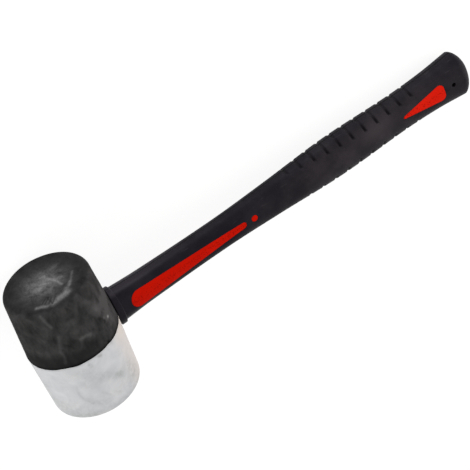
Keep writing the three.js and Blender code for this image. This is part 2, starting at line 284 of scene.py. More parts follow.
def closed_mesh(name, rings):
    """Mesh of a stack of closed rings given in the mallet's own frame, shape (rings, points, 3): quads
    between each two rings; the end rings are drawn together to a point or line, which closes the ends.
    Where the volume inside comes out negative, the faces are turned over."""
    count, around = rings.shape[:2]
    here = np.arange(around)
    after = (here + 1) % around
    start = np.arange(count - 1)[:, None] * around
    quads = np.stack([start + here, start + after, start + around + after, start + around + here], 2)
    mesh = bpy.data.meshes.new(name)
    points = (rings.reshape(-1, 3) @ TURN.T + HEAD_CENTRE) / MM_PER_M
    mesh.from_pydata(points.tolist(), [], quads.reshape(-1, 4).tolist())
    work = bmesh.new()
    work.from_mesh(mesh)
    bmesh.ops.remove_doubles(work, verts=work.verts, dist=MERGE_DISTANCE)
    if work.calc_volume(signed=True) < 0:
        bmesh.ops.reverse_faces(work, faces=work.faces)
    work.to_mesh(mesh)
    work.free()
    mesh.shade_smooth()
    piece = bpy.data.objects.new(name, mesh)
    bpy.context.collection.objects.link(piece)
    return piece


def cut_out(piece, cutters):
    """Takes the cutters' solids out of the piece and removes them."""
    for cutter in cutters:
        cut = piece.modifiers.new("cut", "BOOLEAN")
        cut.operation = "DIFFERENCE"
        cut.solver = "MANIFOLD"
        cut.object = cutter
    solid = bpy.data.meshes.new_from_object(piece.evaluated_get(bpy.context.evaluated_depsgraph_get()))
    piece.modifiers.clear()
    solid.materials.clear()
    piece.data = solid
    for cutter in cutters:
        bpy.data.meshes.remove(cutter.data)
    solid.shade_smooth()
    solid.set_sharp_from_angle(angle=SHARP_ANGLE)


def own_points(piece):
    """The piece's vertices in the mallet's own frame, in millimetres."""
    points = np.empty(len(piece.data.vertices) * 3)
    piece.data.vertices.foreach_get("co", points)
    return (points.reshape(-1, 3) * MM_PER_M - HEAD_CENTRE) @ TURN


def store(piece, name, values):
    """Keeps one number for each vertex of the piece under the name."""
    layer = piece.data.attributes.new(name, "FLOAT", "POINT")
    layer.data.foreach_set("value", np.ascontiguousarray(values, dtype=np.float32))


def outline_of(discs, count):
    """Outline drawn around discs (x, y, radius), in even steps, and its feet on the line through the
    discs' middles. In each direction it touches the disc that reaches furthest that way. It starts on the
    middle line, at the first disc's far end, so that its two sides mirror each other."""
    turn = np.linspace(np.pi, 3 * np.pi, OUTLINE_TURNS)
    way = np.stack([np.cos(turn), np.sin(turn)], 1)
    touched = np.argmax(way @ discs[:, :2].T + discs[:, 2], 1)
    edge = discs[touched, :2] + discs[touched, 2:] * way
    run = np.concatenate([[0], np.cumsum(np.linalg.norm(np.diff(edge, axis=0), axis=1))])
    even = np.arange(count) * run[-1] / count
    edge = np.stack([np.interp(even, run, edge[:, 0]), np.interp(even, run, edge[:, 1])], 1)
    feet = np.stack([np.clip(edge[:, 0], discs[:, 0].min(), discs[:, 0].max()), 0 * edge[:, 1]], 1)
    return edge, feet


def flush_solid(name, outline, rows, side):
    """Solid that follows the handle's flat under an outline: each row (share, grow, rise) lies at that
    share of the way from the outline's feet, grown outwards by grow, at rise over the skin."""
    edge, feet = outline
    spread = edge - feet
    away = spread / np.maximum(np.linalg.norm(spread, axis=1), 1e-9)[:, None]
    rows = np.array(rows)
    flat = feet + rows[:, None, :1] * (spread + rows[:, None, 1:2] * away)
    height = skin_height(flat[..., 0], flat[..., 1]) + rows[:, None, 2]
    return closed_mesh(name, np.concatenate([flat, side * height[..., None]], 2))


def oval_rings(x, half, angle):
    """Rings of ovals of the given half sizes, each at its own x."""
    y, z = oval(half[:, None], angle)
    return np.stack([np.broadcast_to(x[:, None], y.shape), y, z], 2)


# Steps around the handle, closer together along both narrow edges, where the parting line is.
around = np.linspace(0, 2 * np.pi, AROUND_STEPS, endpoint=False)
around = around - AROUND_CROWDING * np.sin(2 * around)

# Bore, tenon and collar, from the blind end of the bore out to the foot of the neck.
root = half_sizes(np.array([COLLAR_TOP]))[0]
collar = half_sizes(STATIONS[:1, 0])[0] + COLLAR_STEP
quarter = np.linspace(0, np.pi / 2, CORNER_STEPS)
inner = oval_rings(np.array([BORE_END, BORE_END, TENON_END, TENON_END]),
                   np.array([BORE_HALF * 0, BORE_HALF, BORE_HALF, TENON_HALF]), around)

seat_half = np.concatenate([[TENON_HALF], collar - COLLAR_ROUND * (1 - np.sin(quarter))[:, None]])
seat_lift = np.concatenate([[0], COLLAR_ROUND * (1 - np.cos(quarter))])
seat_y, seat_z = oval(seat_half[:, None], around)
seated = np.stack([seat(seat_y, seat_z) + seat_lift[:, None], seat_y, seat_z], 2)

top_half = np.concatenate([
    collar - COLLAR_ROUND * (1 - np.cos(quarter))[:, None],
    root + (COLLAR_STEP - COLLAR_ROUND) * (1 - np.sin(quarter))[1:, None]])
top_x = np.concatenate([
    COLLAR_TOP - COLLAR_ROUND * (1 - np.sin(quarter)),
    COLLAR_TOP + (COLLAR_STEP - COLLAR_ROUND) * (1 - np.cos(quarter))[1:]])
top = oval_rings(top_x, top_half, around)

# Neck, grip and tail: plain steps along the neck and tail, and steps that crowd into each groove.
beat = np.arange(GROOVE_COUNT * GROOVE_RINGS) / GROOVE_RINGS - 0.5
grip = FIRST_GROOVE + GROOVE_PITCH * (beat - GROOVE_CROWDING * np.sin(2 * np.pi * beat))
along = np.concatenate([
    np.linspace(top_x[-1] + NECK_START, grip[0], NECK_RINGS, endpoint=False), grip,
    np.linspace(grip[-1] + TAIL_START, TAIL_EDGE, TAIL_RINGS, endpoint=False)])[:, None]
share = np.abs(np.cos(around)) ** (2 / OVAL_POWER)
skin_x = along - bow_of(along) * share**2
channel, lips, _ = groove_parts(along, share)
skin_half = half_sizes(skin_x) - (GROOVE_DEPTH * channel - LIP_HEIGHT * lips)[..., None]
skin_y, skin_z = oval(skin_half, around)
skin = np.stack([skin_x, skin_y, skin_z], 2)

# Crown of the tail, drawn together to its tip.
rise = np.linspace(0, np.pi / 2, CROWN_RINGS)
crown = oval_rings(TAIL_EDGE + TAIL_CROWN * np.sin(rise) ** CROWN_POWER,
                   half_sizes(np.array([TAIL_EDGE]))[0] * np.cos(rise)[:, None], around)

# The parting line: a fine valley with a soft swell on each side, at the middle of both narrow edges.
shell = np.concatenate([skin, crown])
valley = -SEAM_DEPTH * bell(shell[..., 2], 0, SEAM_WIDTH)
swell = SEAM_SWELL * bell(np.abs(shell[..., 2]), SWELL_AT * SEAM_WIDTH, SEAM_WIDTH)
edge_zone = ease(np.abs(shell[..., 1]), *SEAM_EDGE)
shell[..., 1] += np.sign(shell[..., 1]) * (valley + swell) * edge_zone

jacket = closed_mesh("handle_jacket", np.concatenate([inner, seated, top, shell]))

# Pockets for the inlays in both flats, and the hole with its mouths opened a little. The outlines are
# drawn around discs given as x, y and radius, in so many steps.
STRIP = outline_of(np.array([(53.3, 0, 7), (144.6, 0, 2.5)]), 320)
DOT = outline_of(np.array([(154.2, 0, 2.5)]), 64)
WEDGE = outline_of(np.array([(289.0, 0, 1.2), (321.4, 2.8, 4), (321.4, -2.8, 4)]), 240)
POCKET_DEPTH = 1.2
POCKET_CLEAR = 3
INLAY_GAP = 0.14
pocket_rows = [(0, 0, -POCKET_DEPTH), (1, INLAY_GAP, -POCKET_DEPTH),
               (1, INLAY_GAP, POCKET_CLEAR), (0, 0, POCKET_CLEAR)]
cutters = [flush_solid("pocket", outline, pocket_rows, side)
           for outline in (STRIP, DOT, WEDGE) for side in (1, -1)]
turn = np.linspace(0, 2 * np.pi, HOLE_STEPS, endpoint=False)
funnel = np.array([
    (0, -HOLE_CLEAR), (HOLE_MOUTH, -HOLE_CLEAR), (HOLE_MOUTH, -HOLE_WIDENS), (1, -HOLE_NARROWS),
    (1, HOLE_NARROWS), (HOLE_MOUTH, HOLE_WIDENS), (HOLE_MOUTH, HOLE_CLEAR), (0, HOLE_CLEAR)])
drill = funnel[:, :1] * HOLE_DIAMETER / 2
cutters.append(closed_mesh("hole", np.stack([
    HOLE_AT + drill * np.cos(turn), drill * np.sin(turn),
    np.broadcast_to(funnel[:, 1:], (len(funnel), HOLE_STEPS))], 2)))
cut_out(jacket, cutters)

# What the material knows of each point: how deep it lies in a groove, how much painted shade that groove
# gets, and where painted light with dust takes its place; how near the parting line, where shade is painted
# too; where the palm, a smear and the thumb have marked the skin; and where a painted sheen lies along the
# upper edge near the head.
GRIP_START = 180
FLAT_SHARES = (0.35, 0.85)
PALM_RISE = (130, 270)
PALM_FALL = (280, 330)
PALM_LOSS = 0.75
PALM_ON_EDGES = 0.2
SMEAR_AT = (264, 5)
SMEAR_SIZE = (14, 7)
THUMB = (100, 46)
# Where the painted sheen lies along the upper edge of the neck: along x, and across in shares of the half
# width.
EDGE_SHEEN_ALONG = (115, 46)
EDGE_SHEEN_SHARES = (0.8, 0.97)
x, y, z = own_points(jacket).T
half = half_sizes(x)
share = np.clip(np.abs(y) / half[:, 0], 0, 1)
ring = x + bow_of(x) * share**2
ring = x + bow_of(ring) * share**2
channel, _, shaded = groove_parts(ring, np.where(x > GRIP_START, share, 0))
flat = ease(np.abs(z) / half[:, 1], *FLAT_SHARES)
palm = ease(x, *PALM_RISE) * (1 - PALM_LOSS * ease(x, *PALM_FALL))
# Painted shade in the grooves, darkest at their inner ends and where they cross the parting line; where it
# pales, painted light together with dust.
store(jacket, "groove", channel * shaded)
store(jacket, "groove_dust_and_painted_light", channel * (1 - shaded))
store(jacket, "palm", palm * (PALM_ON_EDGES + (1 - PALM_ON_EDGES) * flat))
store(jacket, "smear", flat * bell(x, SMEAR_AT[0], SMEAR_SIZE[0]) * bell(y, SMEAR_AT[1], SMEAR_SIZE[1]))
# Painted shade in the valley of the parting line.
store(jacket, "parting_line_painted_shade", bell(z, 0, SEAM_WIDTH) * ease(np.abs(y), *SEAM_EDGE))
store(jacket, "thumb", ease(x, *THUMB))
# A painted sheen along the upper edge of the neck, towards the head.
store(jacket, "rubbed", ease(x, *EDGE_SHEEN_ALONG) * ease(share, *EDGE_SHEEN_SHARES) * (y > 0))

# Matte black thermoplastic rubber: a soft dark skin with a faint violet cast, finely grained by the mould,
# with a painted sheen along the upper edge near the head, a little glossier near the head, painted shade in
# the grooves and along the parting line, painted light with dust where the groove shade pales, and finely
# scratched.
GRAIN = 0.9  # coarser than the real 0.3 mm, so that it shows in the picture
CLOUD = 18
SCRATCH = 2.2
SCRATCH_STRETCH = 0.12
SCRATCH_LEAN = 0.4
jacket_black, tree, own = new_material("matte black thermoplastic rubber")
mask = {name: add(tree, "Attribute", {}, attribute_name=name).outputs["Fac"]
        for name in ("groove", "groove_dust_and_painted_light", "palm", "smear", "parting_line_painted_shade", "thumb", "rubbed")}
grain = add(tree, "TexNoise", {"Vector": own, "Scale": 1 / GRAIN, "Detail": 2.0, "Roughness": 0.6})
cloud = add(tree, "TexNoise", {"Vector": own, "Scale": 1 / CLOUD, "Detail": 4.0, "Roughness": 0.62})
stretched = add(tree, "Mapping", {
    "Vector": own, "Scale": (SCRATCH_STRETCH, 1, 1), "Rotation": (0, 0, SCRATCH_LEAN)})
scratch = add(tree, "TexNoise", {
    "Vector": stretched.outputs["Vector"], "Scale": 1 / SCRATCH, "Detail": 3.0, "Distortion": 0.6})
scratched = add(tree, "MapRange", {"Value": scratch.outputs["Fac"], "From Min": 0.66, "From Max": 0.78},
                interpolation_type="SMOOTHSTEP")
worn = add(tree, "MapRange", {"Value": cloud.outputs["Fac"], "From Min": 0.35, "From Max": 0.7},
           interpolation_type="SMOOTHSTEP")
dusty = add(tree, "Math", {0: worn.outputs["Result"], 1: mask["palm"]}, operation="MULTIPLY")
tone = add(tree, "Mix", {0: worn.outputs["Result"], 6: linear("16131a"), 7: linear("1f1c22")},
           data_type="RGBA")
# Painted sheen on the upper edge near the head (2a262d), painted light with dust in the grooves (262227),
# and painted shade in the grooves (0c0a0d) and along the parting line (09080a).
for cover, colour in ((mask["palm"], "232024"), (dusty.outputs["Value"], "302c30"),
                      (mask["smear"], "363235"), (mask["rubbed"], "2a262d"),
                      (scratched.outputs["Result"], "322f33"), (mask["groove_dust_and_painted_light"], "262227"),
                      (mask["groove"], "0c0a0d"), (mask["parting_line_painted_shade"], "09080a")):
    tone = add(tree, "Mix", {0: cover, 6: tone.outputs[2], 7: linear(colour)}, data_type="RGBA")
shine = add(tree, "MapRange", {"Value": cloud.outputs["Fac"], "From Min": 0.3, "From Max": 0.75,
                               "To Min": 0.6, "To Max": 0.46})
polish = add(tree, "MapRange", {"Value": mask["thumb"], "To Min": 1.0, "To Max": 0.8})
shine = add(tree, "Math", {0: shine.outputs["Result"], 1: polish.outputs["Result"]}, operation="MULTIPLY")
bump = add(tree, "Bump", {"Strength": 0.35, "Distance": 0.00012, "Height": grain.outputs["Fac"]})
bump = add(tree, "Bump", {"Strength": 0.25, "Distance": 0.0003, "Height": cloud.outputs["Fac"],
                          "Normal": bump.outputs["Normal"]})
surface = add(tree, "BsdfPrincipled", {
    "Base Color": tone.outputs[2], "Roughness": shine.outputs["Value"], "Specular IOR Level": 0.09,
    "Normal": bump.outputs["Normal"]})
add(tree, "OutputMaterial", {"Surface": surface.outputs["BSDF"]})
jacket.data.materials.append(jacket_black)
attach(jacket, "root")
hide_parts("handle_body")


# Red inlays of the handle
# Harder red plastic moulded flush into shallow pockets of the jacket: a long strip that narrows along the
# neck, a dot beyond its point and a rounded wedge at the tail, the same on both flats.
INLAY_RISE = 0.05
INLAY_ROUND = 0.3
INLAY_CLEAR = 0.15
INLAY_ROWS = 10
BEND_STEPS = 5
INLAY_SHARP = np.radians(50)
STIPPLED_HALF = 2.6

# Satin red plastic: clear warm red, a little darker along the middle where a fine stipple was moulded in,
# and brighter at the tail.
STIPPLE = 1.1  # coarser than the real half millimetre, so that it shows
SHADE = 14
FINE = 0.8
red_plastic, tree, own = new_material("satin red plastic")
stipple = add(tree, "TexVoronoi", {"Vector": own, "Scale": 1 / STIPPLE, "Randomness": 0.9})
specks = add(tree, "MapRange", {"Value": stipple.outputs["Distance"], "From Min": 0.16, "From Max": 0.4,
                                "To Min": 1.0, "To Max": 0.0}, interpolation_type="SMOOTHSTEP")
middle = add(tree, "Attribute", {}, attribute_name="middle")
speckled = add(tree, "Math", {0: specks.outputs["Result"], 1: middle.outputs["Fac"]}, operation="MULTIPLY")
shade = add(tree, "TexNoise", {"Vector": own, "Scale": 1 / SHADE, "Detail": 4.0})
along_x = add(tree, "SeparateXYZ", {0: own}).outputs["X"]
tailwards = add(tree, "MapRange", {"Value": along_x, "From Min": 150, "From Max": 290})
tone = add(tree, "Mix", {0: tailwards.outputs["Result"], 6: linear("ae0c00"), 7: linear("d41e10")},
           data_type="RGBA")
for cover, colour in ((shade.outputs["Fac"], "c21402"), (speckled.outputs["Value"], "6c0500")):
    tone = add(tree, "Mix", {0: cover, 6: tone.outputs[2], 7: linear(colour)}, data_type="RGBA")
pits = add(tree, "Bump", {"Strength": 0.4, "Distance": 0.00015, "Height": speckled.outputs["Value"]},
           invert=True)
fine = add(tree, "TexNoise", {"Vector": own, "Scale": 1 / FINE, "Detail": 2.0})
pits = add(tree, "Bump", {"Strength": 0.15, "Distance": 0.0001, "Height": fine.outputs["Fac"],
                          "Normal": pits.outputs["Normal"]})
surface = add(tree, "BsdfPrincipled", {
    "Base Color": tone.outputs[2], "Roughness": 0.5, "Specular IOR Level": 0.03,
    "Normal": pits.outputs["Normal"]})
add(tree, "OutputMaterial", {"Surface": surface.outputs["BSDF"]})

# Rows of an inlay: its top from the middle out, the rounded edge, and its floor over the pocket's.
bend = np.linspace(0, np.pi / 2, BEND_STEPS)
inlay_floor = INLAY_CLEAR - POCKET_DEPTH
inlay_rows = [(k / INLAY_ROWS, 0, INLAY_RISE) for k in range(INLAY_ROWS)]
inlay_rows += [(1, -INLAY_ROUND * (1 - np.sin(a)), INLAY_RISE - INLAY_ROUND * (1 - np.cos(a)))
               for a in bend]
inlay_rows += [(1, 0, inlay_floor), (0, 0, inlay_floor)]
for label, outline in (("strip", STRIP), ("dot", DOT), ("tail", WEDGE)):
    for place_name, side in (("upper", 1), ("lower", -1)):
        inlay = flush_solid(f"red_{label}_{place_name}", outline, inlay_rows, side)
        inlay.data.set_sharp_from_angle(angle=INLAY_SHARP)
        store(inlay, "middle", bell(own_points(inlay)[:, 1], 0, STIPPLED_HALF) * (label != "dot"))
        inlay.data.materials.append(red_plastic)
        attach(inlay, "root")
        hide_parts(f"{label}_inlay_{place_name}")


# Black half of the head
# Vulcanised black rubber pressed in a mould to half a barrel, widest where it is bonded to the white half,
# with a rounded rim and a flat striking face. Half of the blind eye for the tenon is moulded into it.
BLACK_RIM = 4.3
BOND_GAP = 0.04
BOND_ROUND = 0.15
EYE_BACK = -20.0
EYE_MOUTH = 60

# Waves of the bonded line: place in degrees, width and height; then the fine ripple's height, size, seed.
BOND_WAVES = np.array([(-38, 10, 0.4), (-21, 7, -0.4), (21, 3, 0.35), (35, 7, -0.25), (48, 5, 0.3),
                       (100, 25, -0.3)])
BOND_RIPPLE = (0.06, 3, 5)
BOND_FADE = 2.6

# Unevenness of the pressed skin: depth and size of its broad and fine dips and of the face's.
SIDE_DIPS = (0.1, 16)
FINE_DIPS = (0.03, 3.5)
FACE_DIPS = (0.12, 11)
DEEPEST_SIDE_DIP = 0.35
DEEPEST_FACE_DIP = 0.3
RIPPLE_WAVES = 14
RIPPLE_LENGTHS = (0.6, 1.5)
RIPPLE_SUM = 5  # keeps the sum of the waves between about -1 and 1

# Radii and levels between which the dips of the side and the wander of the bonded line set in.
SIDE_RADII = (30, 34)
SIDE_LEVELS = (0.3, 4)
WANDER_RADII = (20, 33)

# Fineness of the mesh.
HEAD_STEPS = 320
BOND_ROWS = 7
SIDE_ROWS = 64
RIM_ROWS = 18
FACE_ROWS = 44
EYE_STEPS = 80


def ripple(points, size, seed):
    """Smooth unevenness between about -1 and 1, of bumps about size across: a sum of sine waves whose
    directions, lengths and phases are drawn once from the seed."""
    dice = np.random.default_rng(seed)
    ways = dice.normal(size=(RIPPLE_WAVES, 3))
    pace = np.pi / size * dice.uniform(*RIPPLE_LENGTHS, RIPPLE_WAVES)
    ways *= (pace / np.linalg.norm(ways, axis=1))[:, None]
    return np.sin(points @ ways.T + dice.uniform(0, 2 * np.pi, RIPPLE_WAVES)).sum(-1) / RIPPLE_SUM


def bond_wander(turn):
    """How far the bonded line lies above the widest ring at each turn about y: a few soft waves, and a
    fine ripple."""
    degrees = (np.degrees(turn) + 180) % 360 - 180
    way = np.stack([np.sin(turn), np.cos(turn), 0 * turn], -1) * BARREL_RADIUS
    height, size, seed = BOND_RIPPLE
    return (bell(degrees[:, None], BOND_WAVES[:, 0], BOND_WAVES[:, 1]) @ BOND_WAVES[:, 2]
            + height * ripple(way, size, seed))


def half_barrel(name, length, taper, rim, sense, seed):
    """Half of the head turned about y: the bond plane, a softened edge, a straight taper, a rim arc that
    meets it smoothly and the flat face. Its skin is worked slightly inwards, as pressed rubber is."""
    tilt = np.arctan2(taper, length)
    rim_y = length - rim
    rim_r = BARREL_RADIUS - taper * rim_y / length - rim / np.cos(tilt)
    soft = np.linspace(0, np.pi / 2 - tilt, BOND_ROWS)
    arc = np.linspace(tilt, np.pi / 2, RIM_ROWS)
    bond_r = BARREL_RADIUS - BOND_ROUND + BOND_ROUND * np.sin(soft)
    bond_y = BOND_GAP + BOND_ROUND * (1 - np.cos(soft))
    side_y = np.linspace(bond_y[-1], rim_y + rim * np.sin(tilt), SIDE_ROWS)[1:-1]
    side_r = BARREL_RADIUS - taper * side_y / length
    face_r = np.linspace(rim_r, 0, FACE_ROWS)[1:]
    radius = np.concatenate([[0, WANDER_RADII[0]], bond_r, side_r, rim_r + rim * np.cos(arc), face_r])
    level = np.concatenate([[BOND_GAP] * 2, bond_y, side_y, rim_y + rim * np.sin(arc), 0 * face_r + length])
    turn = np.linspace(0, 2 * np.pi, HEAD_STEPS, endpoint=False)
    across = radius[:, None] * np.sin(turn)
    up = radius[:, None] * np.cos(turn)
    ring = np.stack([across, np.broadcast_to(level[:, None], across.shape), up], 2)
    skin = (ease(radius, *SIDE_RADII) * ease(level, *SIDE_LEVELS))[:, None]
    dip = (SIDE_DIPS[0] * (1 + ripple(ring, SIDE_DIPS[1], seed))
           + FINE_DIPS[0] * (1 + ripple(ring, FINE_DIPS[1], seed + 1)))
    dip = np.clip(dip, 0, DEEPEST_SIDE_DIP)
    ring[..., [0, 2]] *= 1 - (dip * skin / np.maximum(radius, 1)[:, None])[..., None]
    top = ease(level, length - rim, length)[:, None]
    dip = FACE_DIPS[0] * (1 + ripple(ring, FACE_DIPS[1], seed + 2))
    ring[..., 1] -= top * np.clip(dip, 0, DEEPEST_FACE_DIP)
    edge = (bell(level, BOND_GAP, BOND_FADE) * ease(radius, *WANDER_RADII))[:, None]
    ring[..., 1] = sense * ring[..., 1] + edge * bond_wander(turn)
    return closed_mesh(name, ring)


def eye_cutter():
    """The blind eye: an oval bar a gap larger than the tenon, from behind its end to outside the barrel."""
    half = TENON_HALF + SEAT_GAP
    turn = np.linspace(0, 2 * np.pi, EYE_STEPS, endpoint=False)
    return closed_mesh("eye", oval_rings(
        np.array([EYE_BACK, EYE_BACK, EYE_MOUTH, EYE_MOUTH]),
        np.array([half * 0, half, half, half * 0]), turn))


black_half = half_barrel("black_rubber_half", BLACK_LENGTH, BLACK_TAPER, BLACK_RIM, 1, 11)
cut_out(black_half, [eye_cutter()])


def near_path(points, path, width):
    """1 on a broken line through the path's points, falling off as a bell of the given width around it."""
    path = np.array(path, float)
    far = np.full(len(points), np.inf)
    for a, b in zip(path[:-1], path[1:]):
        t = np.clip((points - a) @ (b - a) / ((b - a) @ (b - a)), 0, 1)
        far = np.minimum(far, np.linalg.norm(points - a - t[:, None] * (b - a), axis=1))
    return bell(far, 0, width)


def on_face(path, level):
    """Points on a striking face at the level from pairs of x and z."""
    return [(a, level, b) for a, b in path]


def on_side(path):
    """Points on the barrel's side from pairs of turn from the upper flat, in degrees, and y."""
    turn, level = np.array(path, float).T
    turn = np.radians(turn)
    slope = np.where(level > 0, BLACK_TAPER / BLACK_LENGTH, WHITE_TAPER / WHITE_LENGTH)
    out = BARREL_RADIUS - slope * np.abs(level)
    return np.stack([out * np.sin(turn), level, out * np.cos(turn)], 1)


# Wear of the face: a broad haze where it strikes, as x, z, both sizes and strength; then rubbed marks and
# dark cuts as paths of x and z, the marks each with a width and a strength.
FACE_FADE = (1.8, 0.4)
FACE_VEIL = 0.22
CUT_WIDTH = 0.55
CUT_DARK = 0.6
HAZE_SPOTS = [(-1.5, 1.5, 14.5, 14.5, 0.82), (-1, 14, 9, 5, -0.08)]
RUBS = [((-17.5, 20), (-14, 22), (-11.5, 24.4), 1.4, 0.34),
        ((-7, 25.6), (-1, 25.3), (3, 25.1), (6.6, 24), 2.3, 0.34),
        ((-1, 23), (4, 22.6), (7.3, 19.8), 1.8, 0.26),
        ((3, -1.2), (5.4, 4.2), (6.4, 9), (7, 13), 1.0, 0.3),
        ((10.1, 18.3), (12.7, 15.3), 1.2, 0.32),
        ((14.3, 13.7), (18.8, 7.3), 0.9, 0.16),
        ((-0.4, -6.4), (2.3, -5.8), 1.2, 0.22),
        ((7.4, 4.6), (10.1, 5.2), 1.2, 0.16),
        ((-1.5, 3), (1.5, 3.6), 3, 0.18),
        ((-7, -5), (-5, -3.5), 2.6, 0.12),
        ((-10.5, 0), (-7.2, 4.2), 2.6, 0.13),
        ((8.4, -9.5), (14.8, -9), 2, 0.08),
        ((-10, 20), (-5, 21), 3, 0.1)]
CUTS = [((-11.2, 21.2), (-5.9, 16.8)), ((-8.8, 22.8), (-4.8, 18.9)), ((-7.1, 25.1), (-2.4, 20.6)),
        ((-7, 16), (-7.3, 25.5)), ((-12.3, 19.1), (-8.7, 16.6))]
place = own_points(black_half)
x, y, z = place.T
face = ease(y, BLACK_LENGTH - FACE_FADE[0], BLACK_LENGTH - FACE_FADE[1])
haze = sum(strength * bell(x, at_x, size_x) * bell(z, at_z, size_z)
           for at_x, at_z, size_x, size_z, strength in HAZE_SPOTS)
rub = sum(strength * near_path(place, on_face(path, BLACK_LENGTH), width)
          for *path, width, strength in RUBS)
cut = sum(near_path(place, on_face(path, BLACK_LENGTH), CUT_WIDTH) for path in CUTS)

# Wear and a painted sheen on the side: strokes as paths of turn and y; a grey veil, thinner along the
# bonded edge, with a painted sheen added to it towards the handle; and a bite in that edge, which is dark
# all round.
STROKES = [((-36, 48), (-34, 43), (-30, 37), 1.2, 0.11),
           ((-27, 28), (-31, 20), (-33, 15), (-31, 10), (-33, 5), 1.1, 0.06),
           ((-4, 18.6), (2, 18.5), (8, 17.2), 1.6, 0.13),
           ((42, 15), (43, 14.6), 0.8, 0.7),
           ((35, 18), (35.5, 17.6), 0.8, 0.14),
           ((22, 40), (24, 37), 3, 0.05),
           ((27, 30), (29, 28), 2.4, 0.08),
           ((-46, 26), (-38, 36), 4.5, 0.05),
           ((-14, 36), (-6, 34), 4, 0.05)]
PLAIN_VEIL = 0.42
# Painted sheen towards the handle: its strength, the turns over which it sets in, and its middle and width
# in y.
SIDE_SHEEN = 0.75
SIDE_SHEEN_TURNS = (18, 46)
SIDE_SHEEN_MIDDLE = 22
SIDE_SHEEN_WIDTH = 11
BOND_BARE = 0.3
BARE_LEVELS = (16, 8)
BARE_TURNS = (25, -5)
BARE_PATCH = ((-30, 35), (-25, 28))
BARE_WIDTH = 6
BARE_STRENGTH = 0.08
BOND_DARK = 1.6
BITE_AT = (24, 1.6)
BITE_SIZE = (2.8, 1.5)
OUTER_SKIN = 30
stroke = sum(strength * near_path(place, on_side(path), width) for *path, width, strength in STROKES)
turn = np.degrees(np.arctan2(x, z))
veil_and_painted_sheen = (PLAIN_VEIL + SIDE_SHEEN * ease(turn, *SIDE_SHEEN_TURNS) * bell(y, SIDE_SHEEN_MIDDLE, SIDE_SHEEN_WIDTH)
        - BOND_BARE * ease(y, *BARE_LEVELS) * ease(turn, *BARE_TURNS)
        - BARE_STRENGTH * near_path(place, on_side(BARE_PATCH), BARE_WIDTH))
bite = (bell(turn, BITE_AT[0], BITE_SIZE[0]) * bell(y, BITE_AT[1], BITE_SIZE[1])
        * (np.hypot(x, z) > OUTER_SKIN))
dark = np.maximum(bell(y, 0, BOND_DARK), bite)
store(black_half, "haze", face * np.clip(haze, 0, 1))
store(black_half, "rub", face * np.clip(rub, 0, 1))
store(black_half, "stroke", (1 - face) * np.clip(stroke, 0, 1))
# On the face the veil is plain bloom; on the side it also carries the painted sheen.
store(black_half, "veil_and_painted_sheen", FACE_VEIL * face + (1 - face) * veil_and_painted_sheen)
store(black_half, "dark", dark + CUT_DARK * face * np.clip(cut, 0, 1))

# Vulcanised black rubber: deep neutral black with a grey veil on the side, painted brighter towards the
# handle as a sheen, a cloudy grey bloom where it was struck, light rubbed marks, fine dark cuts and a dull,
# softly uneven skin.
BLOOM = 7
DRAWN = 11
SPECK = 1.5
PORE = 1.0  # coarser than the real 0.3 mm, so that it shows
black_rubber, tree, own = new_material("vulcanised black rubber")
mask = {name: add(tree, "Attribute", {}, attribute_name=name).outputs["Fac"]
        for name in ("haze", "rub", "stroke", "veil_and_painted_sheen", "dark")}
cloud = add(tree, "TexNoise", {"Vector": own, "Scale": 1 / BLOOM, "Detail": 6.0, "Roughness": 0.66,
                               "Distortion": 0.4})
drawn = add(tree, "Mapping", {
    "Vector": own, "Scale": (1 / BLOOM, 1 / DRAWN, 1 / BLOOM), "Rotation": (0.15, 0, 0.1)})
smear = add(tree, "TexNoise", {"Vector": drawn.outputs["Vector"], "Scale": 1.0, "Detail": 5.0,
                               "Roughness": 0.62, "Distortion": 0.3})
speck = add(tree, "TexNoise", {"Vector": own, "Scale": 1 / SPECK, "Detail": 5.0, "Roughness": 0.75})
smeared = add(tree, "MapRange", {"Value": smear.outputs["Fac"], "From Min": 0.3, "From Max": 0.7,
                                 "To Min": 0.1, "To Max": 1.7})
patchy = add(tree, "MapRange", {"Value": cloud.outputs["Fac"], "From Min": 0.3, "From Max": 0.7,
                                "To Min": 0.25, "To Max": 1.4})
grainy = add(tree, "MapRange", {"Value": speck.outputs["Fac"], "From Min": 0.3, "From Max": 0.7,
                                "To Min": 0.5, "To Max": 1.3})
veil_and_sheen_cover = add(tree, "Math", {0: smeared.outputs["Result"], 1: mask["veil_and_painted_sheen"]}, operation="MULTIPLY")
hazy = add(tree, "Math", {0: patchy.outputs["Result"], 1: mask["haze"]}, operation="MULTIPLY")
hazy = add(tree, "Math", {0: hazy.outputs["Value"], 1: grainy.outputs["Result"]}, operation="MULTIPLY")
rubbed = add(tree, "Math", {0: grainy.outputs["Result"], 1: mask["rub"]}, operation="MULTIPLY")
stroked = add(tree, "Math", {0: grainy.outputs["Result"], 1: mask["stroke"]}, operation="MULTIPLY")
